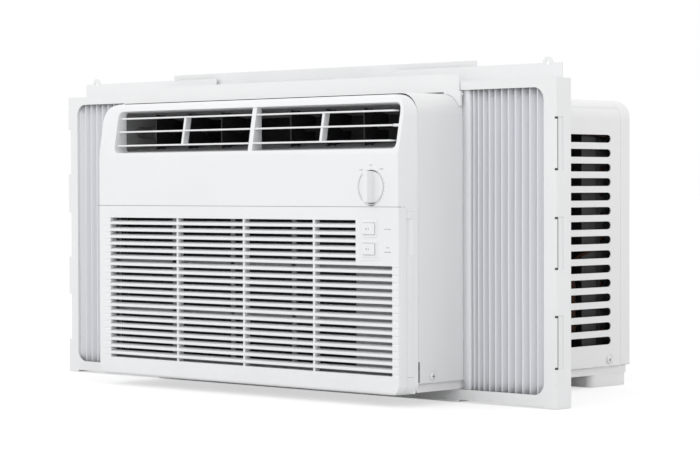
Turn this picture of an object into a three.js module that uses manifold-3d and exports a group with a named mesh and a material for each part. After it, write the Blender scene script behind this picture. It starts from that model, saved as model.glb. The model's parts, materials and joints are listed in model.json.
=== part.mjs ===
// Window air conditioner with its sliding side curtains, as separate sub-parts.
// Millimetres, +Z up. Inside the group x runs to the right, y runs back from the front face
// and z runs up from the front panel's bottom edge. The group is then moved so that the
// origin is the middle of the lower guide's underside, which rests on the window sill.
import * as THREE from 'three';
import { mergeVertices } from 'three/addons/utils/BufferGeometryUtils.js';
import Module from 'manifold-3d';

const wasm = await Module();
wasm.setup();

// ---- Driving dimensions -------------------------------------------------------------------
const width = 450; // cabinet and front panel, side to side
const height = 295; // front panel's top above its bottom edge
const coverTop = 297.3; // cabinet top above the same edge
const sillDrop = 11.5; // window sill below that edge
const sashPlane = 100; // middle of the window guides, behind the front face
const panelDepth = 25; // front panel, front to back
const cabinetRear = 355.5; // rear edge of the cabinet cover
const overallDepth = 374; // rear face of the rear frame
const gap = 0.3; // clearance between neighbours that touch
const plastic = 2.3; // moulded wall
const sheet = 1.2; // sheet steel
const topRadius = 22; // upper corners of panel and cabinet
const panelSeam = 184.6; // joint between the upper panel and the inlet grille
const grilleWrap = 10.5; // how far the inlet grille wraps round the side
const slantStart = 236; // the face leans back above this height
const slantEnd = 287;
const slantDepth = 9.2;

const slotCount = 21; // inlet grille
const shortSlots = 6; // slots that stop at the switches
const slotPitch = 7.47;
const topSlot = 169.7;
const slotHeight = 3.2;
const slotLeft = -201.5;
const slotRight = 214.5;
const shortSlotRight = 166.5;
const ribPositions = [-96, 5, 106];

const dialCentre = [185.5, 204];
const dialRadius = 15.8;
const rockerCentreX = 182.8;
const rockerCentreZ = { power_rocker: 162.9, mode_rocker: 142.9 };
const rockerTilt = 7; // degrees, with the right half pressed in

const outletLeft = -198; // outlet contour in the face
const outletRight = 218;
const outletBottom = 241.5;
const outletTop = 287;
const ductLeft = -195; // inside of the dark duct
const ductRight = 209;
const ductFront = 19;
const ductRear = 68;
const postSpan = [10, 16]; // centre post of the outlet
const bladeHeights = [249.5, 264.5, 279];
const louvrePivot = [10.1, 264.5]; // y, z
const vanePivotY = 36;
const vaneArm = 15; // vane pivot to link pin
const vanePositions = { left: [-51.4, -102.8, -154.2], right: [51.4, 102.8, 154.2] };

const sideSlotCount = 15; // cabinet sides
const sideSlotPitch = 15.5;
const topSideSlot = 255;
const sideSlotHeight = 8.5;
const sideSlotSpan = [238.5, 338.5];

const frameFront = 90; // curtain frames
const frameDepth = 22.5;
const frameTop = 309.5;
const stileWidth = 16;
const barLength = 270; // outer edge of a stile to the inner end of its bars
const earLength = 230; // the same, for the tall strip behind the top bar
const frameOuterEdge = { left: 380, right: 346 };
const curtainStart = 227.2;
const mountingStrip = 7; // flat part of a curtain, beside the cabinet
const pleatCount = { left: 13, right: 12 };

const rotorAxis = [-15, 140]; // x, z of the fan shaft
const compressorAxis = [155, 225]; // x, y
const partitionY = 152;

// ---- Materials ----------------------------------------------------------------------------
function material(color, roughness, metalness = 0) {
  return new THREE.MeshStandardMaterial({ color, roughness, metalness });
}
const white = material(0xf1f2f3, 0.42);
const frameWhite = material(0xeeeeee, 0.5);
const curtainGrey = material(0xdcdde2, 0.6);
const paintedSteel = material(0xe9e9e8, 0.4, 0.1);
const darkPlastic = material(0x4a4a4c, 0.6);
const blackPlastic = material(0x1b1b1c, 0.55);
const foam = material(0xe4e4df, 0.9);
const zinc = material(0xb9bcc0, 0.35, 0.9);
const aluminium = material(0xc4c8cc, 0.4, 0.8);
const copper = material(0xb8704a, 0.3, 0.9);
const blackPaint = material(0x202123, 0.45, 0.2);
const rubber = material(0x161616, 0.85);
const netGrey = material(0x8f9396, 0.8);

// ---- Solids -------------------------------------------------------------------------------
const unit = new THREE.Group();
unit.position.set(0, -sashPlane, sillDrop);

function solid(geometry) {
  const bare = geometry.clone();
  bare.deleteAttribute('normal');
  bare.deleteAttribute('uv');
  const merged = mergeVertices(bare, 1e-4);
  const vertProperties = new Float32Array(merged.attributes.position.array);
  const triVerts = new Uint32Array(merged.index.array);
  return new wasm.Manifold(new wasm.Mesh({ numProp: 3, vertProperties, triVerts }));
}

function add(name, body, look) {
  const made = body.getMesh();
  const geometry = new THREE.BufferGeometry();
  geometry.setAttribute('position', new THREE.BufferAttribute(made.vertProperties, 3));
  geometry.setIndex(new THREE.BufferAttribute(made.triVerts, 1));
  geometry.computeVertexNormals();
  const mesh = new THREE.Mesh(geometry, look);
  mesh.name = name;
  unit.add(mesh);
}

const join = (first, ...rest) => rest.reduce((sum, body) => sum.add(body), first);
const cut = (first, ...rest) => rest.reduce((left, body) => left.subtract(body), first);

function box([x0, x1], [y0, y1], [z0, z1]) {
  const geometry = new THREE.BoxGeometry(x1 - x0, y1 - y0, z1 - z0);
  geometry.translate((x0 + x1) / 2, (y0 + y1) / 2, (z0 + z1) / 2);
  return solid(geometry);
}

const X = new THREE.Vector3(1, 0, 0);
const Y = new THREE.Vector3(0, 1, 0);
const Z = new THREE.Vector3(0, 0, 1);
const turns = {
  x: new THREE.Matrix4().makeBasis(Y, Z, X), // outline is (y, z)
  y: new THREE.Matrix4().makeBasis(X, Z, Y.clone().negate()), // outline is (x, z)
  z: new THREE.Matrix4(), // outline is (x, y)
};

function prism(outline, axis, from, to, curveSegments = 6) {
  const depth = to - from;
  const geometry = new THREE.ExtrudeGeometry(outline, { depth, bevelEnabled: false, curveSegments });
  geometry.translate(0, 0, axis === 'y' ? -to : from);
  geometry.applyMatrix4(turns[axis]);
  return solid(geometry);
}

function polygon(points) {
  return new THREE.Shape(points.map(([u, v]) => new THREE.Vector2(u, v)));
}

function circle([u, v], radius, sides) {
  const points = [];
  for (let i = 0; i < sides; i += 1) {
    const angle = (2 * Math.PI * i) / sides;
    points.push([u + radius * Math.cos(angle), v + radius * Math.sin(angle)]);
  }
  return polygon(points);
}

// How far the face has leaned back at a height.
const faceLean = (z) => Math.max(0, (z - slantStart) * (slantDepth / (slantEnd - slantStart)));

// Radii run from the lower left corner, counter-clockwise.
function roundedRect([u0, u1], [v0, v1], [lowLeft, lowRight, topRight, topLeft]) {
  const shape = new THREE.Shape();
  const quarter = Math.PI / 2;
  shape.moveTo(u0 + lowLeft, v0);
  shape.absarc(u1 - lowRight, v0 + lowRight, lowRight, -quarter, 0, false);
  shape.absarc(u1 - topRight, v1 - topRight, topRight, 0, quarter, false);
  shape.absarc(u0 + topLeft, v1 - topLeft, topLeft, quarter, 2 * quarter, false);
  shape.absarc(u0 + lowLeft, v0 + lowLeft, lowLeft, 2 * quarter, 3 * quarter, false);
  return shape;
}

const rod = (axis, centre, radius, from, to, sides = 16) =>
  prism(circle(centre, radius, sides), axis, from, to);

function turned(profile, [x, y], sides) {
  const geometry = new THREE.LatheGeometry(profile.map(([r, z]) => new THREE.Vector2(r, z)), sides);
  geometry.rotateX(Math.PI / 2);
  geometry.translate(x, y, 0);
  return solid(geometry);
}

function tube(points, radius, steps) {
  const extrudePath = new THREE.CatmullRomCurve3(points.map((p) => new THREE.Vector3(...p)));
  const section = circle([0, 0], radius, 8);
  return solid(new THREE.ExtrudeGeometry(section, { steps, bevelEnabled: false, extrudePath }));
}

const mirrored = (side, a, b) => (side > 0 ? [a, b] : [-b, -a]);
const through = [-400, 400];

// ---- Cabinet: base pan, cover and rear frame ----------------------------------------------
const coverHalf = width / 2;
const coverWall = 1;
const coverBottom = 10.5;
const panHalf = 222;
const panFloor = 1.6;
const panFront = 26;
const panRear = 369;
const panRim = 24;
const sumpSpan = [308, 368.8];
const sumpHalf = 221.6;
const screwPlaces = { front: [46.3, 17], rear: [335, 17] }; // y, z on each side
const screwHole = 2.3;
const dimpleRadius = 7;
const dimpleDepth = 0.5;
const drainPlace = [150, 334]; // x, y
const glandPlace = [52, 34]; // y, z on the left side
const guideHalf = 224;
const guideScrewX = 150;
const guideBottom = coverTop + 1.6;
const guideFront = 88;

function makeBasePan() {
  const outside = join(
    box([-panHalf, panHalf], [panFront, panRear], [panFloor, panRim]),
    prism(roundedRect([-sumpHalf, sumpHalf], sumpSpan, [8, 8, 3, 3]), 'z', -sillDrop, panFloor + 1),
  );
  const inner = panHalf - sheet;
  const sumpInner = [sumpSpan[0] + sheet, sumpSpan[1] - sheet];
  const hollow = join(
    box([-inner, inner], [panFront + sheet, panRear - sheet], [panFloor + sheet, panRim + 1]),
    prism(roundedRect([sheet - sumpHalf, sumpHalf - sheet], sumpInner, [7, 7, 2, 2]), 'z',
      sheet - sillDrop, panFloor + 2 * sheet),
  );
  const frontCut = box(through, [panFront - 1, panFront + 20], [10, panRim + 1]);
  const holes = Object.values(screwPlaces).map((place) => rod('x', place, screwHole, ...through, 10));
  const drain = rod('z', drainPlace, 7, -20, 5, 16);
  add('base_pan', cut(outside, hollow, frontCut, drain, ...holes), paintedSteel);
}

function makeDrainCap() {
  const profile = [[0, -sillDrop + 1.6], [6.5, -sillDrop + 1.6], [6.5, -sillDrop + sheet + gap],
    [9.5, -sillDrop + sheet + gap], [9.5, -sillDrop + 3.5], [0, -sillDrop + 3.5]];
  const cap = turned(profile, drainPlace, 16);
  add('drain_cap', cap, rubber);
}

const cabinetOutline = (offset) => roundedRect(
  [-coverHalf - offset, coverHalf + offset],
  [-60, coverTop + offset],
  [1, 1, topRadius + offset, topRadius + offset],
);

function makeCabinetCover() {
  const front = panelDepth + gap;
  const shell = cut(
    prism(cabinetOutline(0), 'y', front, cabinetRear, 5),
    prism(cabinetOutline(-coverWall), 'y', front - 1, cabinetRear + 1, 5),
    box(through, [0, 400], [-70, coverBottom]),
  );
  const end = sideSlotHeight / 2;
  const slots = [];
  for (let i = 0; i < sideSlotCount; i += 1) {
    const z = topSideSlot - i * sideSlotPitch;
    const outline = roundedRect(sideSlotSpan, [z - end, z + end], [0, end - 0.05, end - 0.05, 0]);
    slots.push(prism(outline, 'x', ...through, 1));
  }
  const holes = Object.values(screwPlaces).map((place) => rod('x', place, screwHole, ...through, 10));
  const dimples = Object.values(screwPlaces).flatMap((place) => [-1, 1].map((side) => rod(
    'x', place, dimpleRadius, ...mirrored(side, coverHalf - dimpleDepth, coverHalf + 1), 20,
  )));
  const guideHoles = [-1, 1].map((side) => rod(
    'z', [side * guideScrewX, sashPlane + 1], screwHole, 280, 305, 10,
  ));
  const glandHole = rod('x', glandPlace, 6.4, -230, -220, 14);
  const cordNotch = box([200, 230], [front - 1, front + 2.2], [11.6, 32]);
  const cuts = [...slots, ...dimples, ...holes, ...guideHoles, glandHole, cordNotch];
  add('cabinet_cover', cut(shell, ...cuts), paintedSteel);
}

function makeCordGland() {
  const hole = 3.4;
  const flange = cut(
    join(rod('x', glandPlace, 6, -226, -219, 14), rod('x', glandPlace, 9, -228, -225.3, 14)),
    rod('x', glandPlace, hole, -230, -210, 12),
  );
  add('cord_gland', flange, rubber);
}

// The rear frame is flush with the cover and plugs into it with a spigot.
function makeRearFrame() {
  const wall = 2.4;
  const plate = 2.6;
  const front = cabinetRear + gap;
  const low = 10;
  const lip = 17;
  const chamfer = 1.8;
  const rear = overallDepth;
  const outline = (inset) => roundedRect(
    [-coverHalf + inset, coverHalf - inset],
    [low, coverTop - inset],
    [2, 2, topRadius - inset, topRadius - inset],
  );
  const side = polygon([
    [340, -20], [rear - chamfer, -20], [rear - chamfer, low], [rear, low + chamfer],
    [rear, coverTop - chamfer], [rear - chamfer, coverTop], [rear - chamfer, 320], [340, 320],
  ]);
  const plan = polygon([
    [-coverHalf, 340], [coverHalf, 340], [coverHalf, rear - chamfer],
    [coverHalf - chamfer, rear], [chamfer - coverHalf, rear], [-coverHalf, rear - chamfer],
  ]);
  const flush = prism(outline(0), 'y', front, rear, 5)
    .intersect(prism(side, 'x', -300, 300))
    .intersect(prism(plan, 'z', -20, 320));
  const spigot = prism(outline(coverWall + 0.4), 'y', front - 7, front + 4, 5);
  const hollow = prism(outline(wall), 'y', front - 8, rear - plate, 5);
  const opening = prism(outline(lip), 'y', front - 8, rear + 1, 3);
  const clearOfPan = box([-panHalf - 0.6, panHalf + 0.6], [front - 8, panRear + 0.6], [0, panRim + 0.6]);
  add('rear_frame', cut(join(flush, spigot), hollow, opening, clearOfPan), paintedSteel);
}

// ---- Front panel, inlet grille and outlet -------------------------------------------------
function panelBlank(inset, back) {
  const half = width / 2 - inset;
  const low = 10 - inset;
  const high = topRadius - inset;
  const outline = roundedRect([-half, half], [inset, height - inset], [low, low, high, high]);
  const face = prism(outline, 'y', -1, back, 5);
  const side = polygon([
    [inset, 3 + inset], [inset, slantStart], [slantDepth + inset, slantEnd],
    [slantDepth + 2 + inset, height - 3 - inset], [slantDepth + 6 + inset, height - inset],
    [back + 1, height - inset], [back + 1, inset], [3 + inset, inset],
  ]);
  const corner = 1.2;
  const plan = polygon([
    [-half, corner + inset], [-half + corner, inset], [half - corner, inset], [half, corner + inset],
    [half, back + 1], [-half, back + 1],
  ]);
  return face.intersect(prism(side, 'x', -300, 300)).intersect(prism(plan, 'z', -20, 320));
}

// The grille takes everything below the seam and ahead of its wrap round the side.
function grilleRegion(clearance) {
  const radius = 4 + clearance;
  const outline = roundedRect(
    [-3, grilleWrap + clearance],
    [-3, panelSeam - gap + clearance],
    [0.5, 0.5, radius, 0.5],
  );
  return prism(outline, 'x', ...through);
}

// The outlet narrows from its contour in the leaning face to the front of the duct.
function makeFunnel() {
  const depth = 17.5;
  const contour = roundedRect([outletLeft, outletRight], [outletBottom, outletTop], [7, 7, 7, 7]);
  const end = roundedRect([ductLeft, ductRight], [243.2, 285.6], [4, 4, 4, 4]);
  const inner = end.getPoints(6);
  const points = [];
  contour.getPoints(6).forEach((rim, i) => {
    const front = [rim.x, faceLean(rim.y), rim.y];
    const rear = [inner[i].x, depth, inner[i].y];
    const ahead = front.map((value, k) => value + 0.15 * (value - rear[k]));
    points.push(ahead, rear);
  });
  return wasm.Manifold.hull(points);
}

function makeFrontPanel() {
  const shell = cut(panelBlank(0, panelDepth), panelBlank(plastic, panelDepth + 2));
  const grilleSpace = grilleRegion(gap);
  const web = box([-220, 220], [1, 21.6], [panelSeam, panelSeam + plastic]);
  const innerHalf = width / 2 - 1;
  const backFrame = cut(
    box([-innerHalf, innerHalf], [19.8, 21.8], [1, panelSeam + 1]),
    box([-205, 215], [19, 22], [18, 172]),
  );
  const filterRail = box([-212, innerHalf], [11.4, 20.5], [14.8, 17.4]);
  const surround = box([outletLeft - 5, innerHalf], [0, 17.2], [outletBottom - 3, outletTop + 3])
    .intersect(panelBlank(0, panelDepth));
  const funnel = makeFunnel();
  const postSide = polygon([
    [2.2, outletBottom - 1], [slantDepth + 1.2, outletTop], [17, outletTop], [17, outletBottom - 1],
  ]);
  const post = cut(prism(postSide, 'x', ...postSpan), rod('x', louvrePivot, 1.9, ...through, 10));
  const louvreHole = rod('x', louvrePivot, 1.9, -206, 222, 10);
  const dialRecess = rod('y', dialCentre, dialRadius + 1.2, -1, 0.8, 32);
  const dialHole = rod('y', dialCentre, 5, -1, 5, 14);
  const filterSlot = box([220, 230], [5, 19.4], [17.4, 180.2]);
  const body = cut(
    join(cut(shell, grilleSpace), web, backFrame, filterRail, surround),
    funnel, louvreHole, dialRecess, dialHole, filterSlot,
  );
  add('front_panel', join(body, post), white);
}

function makeInletGrille() {
  const below = grilleRegion(0);
  const shell = cut(
    panelBlank(0, panelDepth).intersect(below),
    panelBlank(plastic, panelDepth + 2).intersect(box(through, [-2, 40], [-2, panelSeam - plastic])),
  );
  const slots = [];
  for (let i = 0; i < slotCount; i += 1) {
    const z = topSlot - i * slotPitch;
    const right = i < shortSlots ? shortSlotRight : slotRight;
    slots.push(box([slotLeft, right], [-1, plastic + 1], [z - slotHeight / 2, z + slotHeight / 2]));
  }
  const ribs = ribPositions.map((x) => box([x - 1, x + 1], [plastic - 0.1, 8.5], [8, 178]));
  const switchOpening = box([169.7, 195.9], [-1, 4], [131.5, 173.5]);
  add('inlet_grille', cut(join(cut(shell, ...slots), ...ribs), switchOpening), white);
}

const ductFloor = (y) => 243.5 + ((y - ductFront) * 8) / (ductRear - ductFront);
const ductCeiling = (y) => 285 - ((y - ductFront) * 8) / (ductRear - ductFront);

function makeOutletDuct() {
  const wall = 2;
  const section = (thickness, reach) => polygon([
    [ductFront - reach, ductFloor(ductFront) - thickness],
    [ductRear + reach, ductFloor(ductRear) - thickness],
    [ductRear + reach, ductCeiling(ductRear) + thickness],
    [ductFront - reach, ductCeiling(ductFront) + thickness],
  ]);
  const outside = prism(section(wall, 0), 'x', ductLeft - wall, ductRight + wall);
  const inside = prism(section(0, 1), 'x', ductLeft, ductRight);
  const pivots = [...vanePositions.left, ...vanePositions.right];
  const pivotHoles = pivots.map((x) => rod('z', [x, vanePivotY], 2, 235, 295, 8));
  const slotOutline = roundedRect([33, 60], [258, 271], [6, 6, 6, 6]);
  const leverSlot = prism(slotOutline, 'x', ductLeft - 5, ductLeft + 5, 4);
  add('outlet_duct', cut(outside, inside, leverSlot, ...pivotHoles), darkPlastic);
}

// A louvre bank is three blades and an upright, turning on two pins that reach out of its ends.
function makeLouvreBank(name, [left, right], reach) {
  const bladeDepth = 9;
  const blades = bladeHeights.map((z) => {
    const front = faceLean(z) + 1;
    const section = polygon([
      [front, z - 0.8], [front + 1.5, z - 1], [front + bladeDepth, z - 0.6],
      [front + bladeDepth, z + 0.6], [front + 1.5, z + 1], [front, z + 0.8],
    ]);
    return prism(section, 'x', left, right);
  });
  const middle = (left + right) / 2;
  const [low, , high] = bladeHeights;
  const uprightSide = polygon([
    [faceLean(low) + 2, low], [faceLean(high) + 2, high],
    [faceLean(high) + bladeDepth, high], [faceLean(low) + bladeDepth, low],
  ]);
  const upright = prism(uprightSide, 'x', middle - 1.6, middle + 1.6);
  const pins = rod('x', louvrePivot, 1.5, left - reach[0], right + reach[1], 10);
  const pinGap = box([left + 1, right - 1], [0, 30], [louvrePivot[1] - 3, louvrePivot[1] + 3]);
  add(name, join(...blades, upright, cut(pins, pinGap)), white);
}

function makeVane(name, x) {
  const front = vanePivotY - 12;
  const rear = vanePivotY + 24;
  const side = polygon([
    [front, ductFloor(front) + 1], [rear, ductFloor(rear) + 1],
    [rear, ductCeiling(rear) - 1], [front, ductCeiling(front) - 1],
  ]);
  const middle = louvrePivot[1];
  const notch = box(through, [vanePivotY + 8, rear + 1], [middle - 3, middle + 3]);
  const linkPin = rod('z', [x, vanePivotY + vaneArm], 1, middle - 4, middle + 4, 6);
  const floor = ductFloor(vanePivotY);
  const ceiling = ductCeiling(vanePivotY);
  const lowPin = rod('z', [x, vanePivotY], 1.5, floor - 1.7, floor + 2, 8);
  const highPin = rod('z', [x, vanePivotY], 1.5, ceiling - 2, ceiling + 1.7, 8);
  const plate = cut(prism(side, 'x', x - 0.8, x + 0.8), notch);
  add(name, join(plate, linkPin, lowPin, highPin), blackPlastic);
}

function makeVaneLink(name, positions) {
  const middle = louvrePivot[1];
  const low = Math.min(...positions) - 10;
  const high = Math.max(...positions) + 10;
  const bar = box([low, high], [45.6, 54.4], [middle - 1, middle + 1]);
  const holes = positions.map((x) => box([x - 1.5, x + 1.5], [47.3, 52.6], [middle - 2, middle + 2]));
  add(name, cut(bar, ...holes), blackPlastic);
}

// ---- Controls -----------------------------------------------------------------------------
function makeDial() {
  const [x, z] = dialCentre;
  const grip = box([x - 3.5, x + 3.5], [-9.5, -0.4], [z - 20, z + 20])
    .intersect(rod('y', dialCentre, dialRadius - 0.3, -20, 5, 32));
  const disc = rod('y', dialCentre, dialRadius, -0.6, 0.5, 32);
  const shaft = rod('y', dialCentre, 3, 0, 21, 12);
  add('thermostat_dial', join(disc, grip, shaft), white);
}

function makeSwitchPack() {
  const plate = box([170, 195.6], [-0.5, plastic], [131.8, 173.2]);
  const back = box([171.5, 194.1], [2, grilleWrap - 0.3], [133, 172]);
  const modules = [];
  const pockets = [];
  for (const z of Object.values(rockerCentreZ)) {
    const raised = box([rockerCentreX - 10.2, rockerCentreX + 10.2], [-1.8, 0], [z - 8.6, z + 8.6]);
    modules.push(raised);
    pockets.push(box([rockerCentreX - 8.2, rockerCentreX + 8.2], [-5, 5], [z - 5.9, z + 5.9]));
  }
  add('switch_pack', cut(join(plate, back, ...modules), ...pockets), white);
}

function makeRocker(name, z) {
  const tilt = THREE.MathUtils.degToRad(rockerTilt);
  const corners = [[-7.5, -3.6], [0, -2.8], [7.5, -3.6], [7.2, 2.6], [-7.2, 2.6]];
  const outline = corners.map(([u, v]) => [
    rockerCentreX + u * Math.cos(tilt) - v * Math.sin(tilt),
    u * Math.sin(tilt) + v * Math.cos(tilt),
  ]);
  add(name, prism(polygon(outline.reverse()), 'z', z - 5.5, z + 5.5), white);
}

function makeControls() {
  makeDial();
  makeSwitchPack();
  for (const [name, z] of Object.entries(rockerCentreZ)) makeRocker(name, z);
  const boxX = [152, 221.5];
  const boxY = [28, 92];
  const boxZ = [120, 236];
  const inside = box([boxX[0] + 1, boxX[1] - 1], [boxY[0] - 1, boxY[1] - 1], [boxZ[0] + 1, boxZ[1] - 1]);
  add('control_box', cut(box(boxX, boxY, boxZ), inside), zinc);
  const [x, z] = dialCentre;
  add('thermostat', join(
    box([x - 16, x + 16], [21.5, 44], [z - 15, z + 15]),
    box([x - 9, x + 9], [43, 52], [z - 12, z + 12]),
  ), blackPlastic);
  const can = prism(roundedRect([169, 205], [48, 76], [13, 13, 13, 13]), 'z', 121.6, 174, 5);
  const terminals = [-8, 8].map((side) => box([187 + side - 3, 187 + side + 3], [58, 59], [173, 181]));
  add('run_capacitor', join(can, ...terminals), aluminium);
}

// ---- Air filter ---------------------------------------------------------------------------
function makeAirFilter() {
  const span = [-208, 223];
  const low = 18.8;
  const high = 179.4;
  const border = 6;
  const slab = box(span, [14, 17], [low, high]);
  const windows = [];
  const columns = 4;
  const rows = 3;
  const windowsEnd = 158;
  const stepX = (windowsEnd - span[0] - border) / columns;
  const stepZ = (high - low - border) / rows;
  for (let i = 0; i < columns; i += 1) {
    for (let j = 0; j < rows; j += 1) {
      const x = span[0] + border + i * stepX;
      const z = low + border + j * stepZ;
      windows.push(box([x, x + stepX - border], [13, 18], [z, z + stepZ - border]));
    }
  }
  const net = box([span[0] + 2, windowsEnd - 2], [15.1, 15.9], [low + 2, high - 2]);
  const cap = box([width / 2 - plastic, width / 2], [grilleWrap + 2 * gap, 19], [17.8, 179.8]);
  const recess = polygon([[226, 12], [223.5, 12], [225.01, 18.6], [226, 18.6]]);
  const fingerRecess = prism(recess, 'z', 139, 174);
  add('air_filter', join(cut(slab, ...windows), net, cut(cap, fingerRecess)), netGrey);
}

// ---- Indoor side --------------------------------------------------------------------------
function makeEvaporator() {
  const fins = box([-206, 142], [30, 66], [16, 232]);
  const plates = [-207.2, 142].map((x) => box([x, x + 1.2], [28, 68], [14.5, 234]));
  const bends = [];
  for (let i = 0; i < 6; i += 1) {
    const z = 34 + i * 36;
    bends.push(box([143, 150], [38, 58], [z - 3.5, z + 3.5]));
  }
  add('evaporator_coil', join(fins, ...plates, ...bends), aluminium);
  const tray = box([-209, 150], [27.6, 71], [panFloor + sheet + gap, 14]);
  const channel = box([-206, 147], [30.6, 68], [6, 15]);
  add('condensate_tray', cut(tray, channel), foam);
}

const scrollFront = 72;
const scrollRear = 150;

function makeBlowerScroll() {
  const [x, z] = rotorAxis;
  const outside = join(
    box([-178, 148], [scrollFront, scrollRear], [15, 240]),
    box([-199, 213], [scrollFront, scrollRear], [238, 289]),
  );
  const wheelSpace = rod('y', rotorAxis, 98, scrollFront + 5, scrollRear - 3, 32);
  const riser = box([x - 60, x + 98], [scrollFront + 5, scrollRear - 3], [z, 262]);
  const header = box([-196, 210], [scrollFront - 1, scrollRear - 3], [247, 281]);
  const inlet = rod('y', rotorAxis, 64, scrollFront - 1, scrollFront + 10, 28);
  const shaftHole = rod('y', rotorAxis, 12, scrollRear - 10, scrollRear + 10, 12);
  add('blower_scroll', cut(outside, wheelSpace, riser, header, inlet, shaftHole), blackPlastic);
}

const shaftRadius = 4;
const hubBore = shaftRadius + 0.3;

function makeBlowerWheel() {
  const outer = 88;
  const inner = 73;
  const front = 84;
  const rear = 140;
  const ring = cut(rod('y', rotorAxis, outer, front, front + 4, 24), rod('y', rotorAxis, inner, 0, 200, 24));
  const disc = rod('y', rotorAxis, outer, rear - 3, rear, 24);
  const hub = rod('y', rotorAxis, 14, 118, rear - 1, 14);
  const blades = [];
  const count = 20;
  const [x, z] = rotorAxis;
  for (let i = 0; i < count; i += 1) {
    const angle = (2 * Math.PI * i) / count;
    const blade = new THREE.BoxGeometry(13, rear - front - 3, 1.4);
    blade.rotateY(-0.6);
    blade.translate((outer + inner) / 2, (rear + front) / 2, 0);
    blade.rotateY(angle);
    blade.translate(x, 0, z);
    blades.push(solid(blade));
  }
  const wheel = join(ring, disc, hub, ...blades);
  add('blower_wheel', cut(wheel, rod('y', rotorAxis, hubBore, 0, 200, 12)), blackPlastic);
}

const suctionPass = [206, 215]; // x, z where pipes go through the partition
const capillaryPass = [190, 40];

function makePartition() {
  const half = panHalf - sheet - 0.6;
  const high = coverTop - coverWall - 0.6;
  const outline = roundedRect([-half, half], [panFloor + sheet + gap, high], [1, 1, 20, 20]);
  add('partition_wall', cut(
    prism(outline, 'y', partitionY, partitionY + sheet, 5),
    rod('y', rotorAxis, 12, 100, 200, 12),
    rod('y', suctionPass, 8, 100, 200, 12),
    rod('y', capillaryPass, 5, 100, 200, 10),
  ), zinc);
}

// ---- Outdoor side -------------------------------------------------------------------------
function makeMotor() {
  const [x] = rotorAxis;
  const floor = panFloor + sheet + gap;
  const body = join(
    rod('y', rotorAxis, 44, 162, 228, 24),
    rod('y', rotorAxis, 14, 154, 163, 16),
    rod('y', rotorAxis, 16, 227, 240, 16),
  );
  add('fan_motor', cut(body, rod('y', rotorAxis, hubBore + 0.4, 100, 300, 12)), blackPaint);
  const stand = polygon([[x - 75, floor], [x + 75, floor], [x + 45, 196], [x - 45, 196]]);
  const bracket = join(
    prism(stand, 'y', 159.8, 161.4),
    box([x - 75, x + 75], [159.8, 205], [floor, floor + 1.6]),
  );
  add('motor_bracket', cut(bracket, rod('y', rotorAxis, 16, 100, 300, 16)), zinc);
  add('fan_shaft', rod('y', rotorAxis, shaftRadius, 116, 292, 12), zinc);
}

function makeCondenserFan() {
  const tip = 106;
  const [x, z] = rotorAxis;
  const blades = [];
  const count = 5;
  for (let i = 0; i < count; i += 1) {
    const outline = polygon([
      [18, -12], [60, -34], [tip, -38], [tip + 1, 6], [tip - 4, 30], [60, 22], [18, 10],
    ]);
    const blade = new THREE.ExtrudeGeometry(outline, { depth: 2, bevelEnabled: false });
    blade.translate(0, 0, -1);
    blade.rotateX(Math.PI / 2);
    blade.rotateX(0.42);
    blade.rotateY((2 * Math.PI * i) / count);
    blade.translate(x, 277, z);
    blades.push(solid(blade));
  }
  const round = rod('y', rotorAxis, tip + 0.6, 255, 299, 30);
  const hub = rod('y', rotorAxis, 26, 266, 288, 20);
  const ring = cut(
    rod('y', rotorAxis, tip + 2.4, 272, 284, 30),
    rod('y', rotorAxis, tip - 0.8, 260, 300, 30),
  );
  const fan = join(hub, ring, ...blades.map((blade) => blade.intersect(round)));
  add('condenser_fan', cut(fan, rod('y', rotorAxis, hubBore, 200, 320, 12)), blackPlastic);
}

const coilX = [-205, 213];
const coilZ = [14, 286];

function makeCondenser() {
  const plate = 1.4;
  const shroudX = [coilX[0] - 4, coilX[1] + 2];
  const shroud = join(
    cut(
      box(shroudX, [300, 325], [25, 290]),
      box([shroudX[0] + plate, shroudX[1] - plate], [300 + plate, 330], [25 + plate, 290 - plate]),
      rod('y', rotorAxis, 112, 290, 310, 30),
    ),
    cut(rod('y', rotorAxis, 113.5, 288, 300.5, 30), rod('y', rotorAxis, 112, 280, 310, 30)),
  );
  add('fan_shroud', shroud, blackPlastic);
  const fins = box(coilX, [326, 360], coilZ);
  const ends = [coilX[0] - 1.2, coilX[1] - 0.1].map((x) => box([x, x + 1.3], [325.4, 360.4], [12, 288]));
  const legs = box(coilX, [327, 359], [sheet + gap - sillDrop, coilZ[0] + 1]);
  const sumpClear = box([coilX[0] + 20, coilX[1] - 20], [320, 370], [-sillDrop, coilZ[0]]);
  add('condenser_coil', join(fins, ...ends, cut(legs, sumpClear)), aluminium);
}

const lugAngles = [90, 210, 330];
const lugRadius = 58;

function lugCentre(angle) {
  const [x, y] = compressorAxis;
  const turn = THREE.MathUtils.degToRad(angle);
  return [x + lugRadius * Math.cos(turn), y + lugRadius * Math.sin(turn)];
}

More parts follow.
